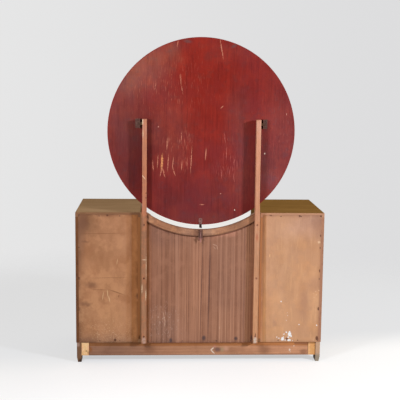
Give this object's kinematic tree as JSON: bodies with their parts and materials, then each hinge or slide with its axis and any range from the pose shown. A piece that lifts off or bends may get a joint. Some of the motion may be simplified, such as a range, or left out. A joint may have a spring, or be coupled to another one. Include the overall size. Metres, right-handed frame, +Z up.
{
  "type": "dressing table",
  "caption": "Dressing table with drawer pedestals, an open centre with a low shelf, and a large round mirror that tilts on posts behind the case and has a sliding catch.",
  "frame": {"origin": "on the floor, under the middle of the whole object's box", "axes": "+Z up, -Y towards the person who sits at the table, +X to that person's right"},
  "size_m": [1.2, 0.5324, 1.573],
  "materials": {
    "varnished_veneer": "satin varnish over veneer",
    "back_ply": "bare aged plywood",
    "striped_veneer": "bare striped veneer",
    "post_wood": "bare planed wood",
    "rail_wood": "bare bent wood",
    "pale_pine": "new bare pine",
    "carcass_wood": "bare solid wood",
    "drawer_wood": "bare pale wood",
    "red_paint": "worn red paint on wood",
    "silvered_glass": "silvered, bevelled",
    "dark_rim": "dark brown enamel",
    "knob_brass": "aged brass",
    "bronze_fittings": "dark bronzed brass",
    "iron_fasteners": "rusty iron"
  },
  "bodies": {
    "case": {"arc_rail": "rail_wood", "back_stiles": "carcass_wood", "base_back_rail": "carcass_wood", "base_front_rail": "carcass_wood", "bolt_plate": "bronze_fittings", "bolt_plate_screws": "iron_fasteners", "bottom_board": "carcass_wood", "centre_back_panel": "striped_veneer", "centre_shelf": "varnished_veneer", "drawer_bearers": "carcass_wood", "left_back_panel": "back_ply", "left_foot_board": "carcass_wood", "left_inner_side": "carcass_wood", "left_mirror_post": "post_wood", "left_outer_side": "varnished_veneer", "left_top": "varnished_veneer", "panel_nails": "iron_fasteners", "pivot_bolts": "bronze_fittings", "pivot_bushes": "bronze_fittings", "post_screws": "iron_fasteners", "rail_end_blocks": "pale_pine", "right_back_panel": "back_ply", "right_foot_board": "carcass_wood", "right_inner_side": "carcass_wood", "right_mirror_post": "post_wood", "right_outer_side": "varnished_veneer", "right_top": "varnished_veneer", "shelf_cleats": "carcass_wood"},
    "catch_bolt": {"catch_bolt": "bronze_fittings"},
    "mirror": {"mirror_backboard": "red_paint", "mirror_glass": "silvered_glass", "mirror_rim": "dark_rim", "left_tilt_bracket": "bronze_fittings", "right_tilt_bracket": "bronze_fittings", "mirror_screws": "iron_fasteners", "catch_keeper": "bronze_fittings"},
    "left_bottom_drawer": {"left_bottom_drawer_front": "varnished_veneer", "left_bottom_drawer_box": "drawer_wood", "left_bottom_drawer_bottom": "drawer_wood", "left_bottom_drawer_knob": "knob_brass"},
    "left_middle_drawer": {"left_middle_drawer_front": "varnished_veneer", "left_middle_drawer_box": "drawer_wood", "left_middle_drawer_bottom": "drawer_wood", "left_middle_drawer_knob": "knob_brass"},
    "left_top_drawer": {"left_top_drawer_front": "varnished_veneer", "left_top_drawer_box": "drawer_wood", "left_top_drawer_bottom": "drawer_wood", "left_top_drawer_knob": "knob_brass"},
    "right_bottom_drawer": {"right_bottom_drawer_front": "varnished_veneer", "right_bottom_drawer_box": "drawer_wood", "right_bottom_drawer_bottom": "drawer_wood", "right_bottom_drawer_knob": "knob_brass"},
    "right_middle_drawer": {"right_middle_drawer_front": "varnished_veneer", "right_middle_drawer_box": "drawer_wood", "right_middle_drawer_bottom": "drawer_wood", "right_middle_drawer_knob": "knob_brass"},
    "right_top_drawer": {"right_top_drawer_front": "varnished_veneer", "right_top_drawer_box": "drawer_wood", "right_top_drawer_bottom": "drawer_wood", "right_top_drawer_knob": "knob_brass"}
  },
  "joints": [
    {"name": "mirror_tilt", "type": "hinge", "parent": "case", "child": "mirror", "pos_m": [0, 0.2488, 1.167], "axis": [-1, 0, 0], "range_deg": [0, 25]},
    {"name": "catch_slide", "type": "slide", "parent": "case", "child": "catch_bolt", "axis": [0, 0, 1], "range_m": [0, 0.016]},
    {"name": "left_bottom_drawer_slide", "type": "slide", "parent": "case", "child": "left_bottom_drawer", "axis": [0, -1, 0], "range_m": [0, 0.3]},
    {"name": "left_middle_drawer_slide", "type": "slide", "parent": "case", "child": "left_middle_drawer", "axis": [0, -1, 0], "range_m": [0, 0.3]},
    {"name": "left_top_drawer_slide", "type": "slide", "parent": "case", "child": "left_top_drawer", "axis": [0, -1, 0], "range_m": [0, 0.3]},
    {"name": "right_bottom_drawer_slide", "type": "slide", "parent": "case", "child": "right_bottom_drawer", "axis": [0, -1, 0], "range_m": [0, 0.3]},
    {"name": "right_middle_drawer_slide", "type": "slide", "parent": "case", "child": "right_middle_drawer", "axis": [0, -1, 0], "range_m": [0, 0.3]},
    {"name": "right_top_drawer_slide", "type": "slide", "parent": "case", "child": "right_top_drawer", "axis": [0, -1, 0], "range_m": [0, 0.3]}
  ]
}
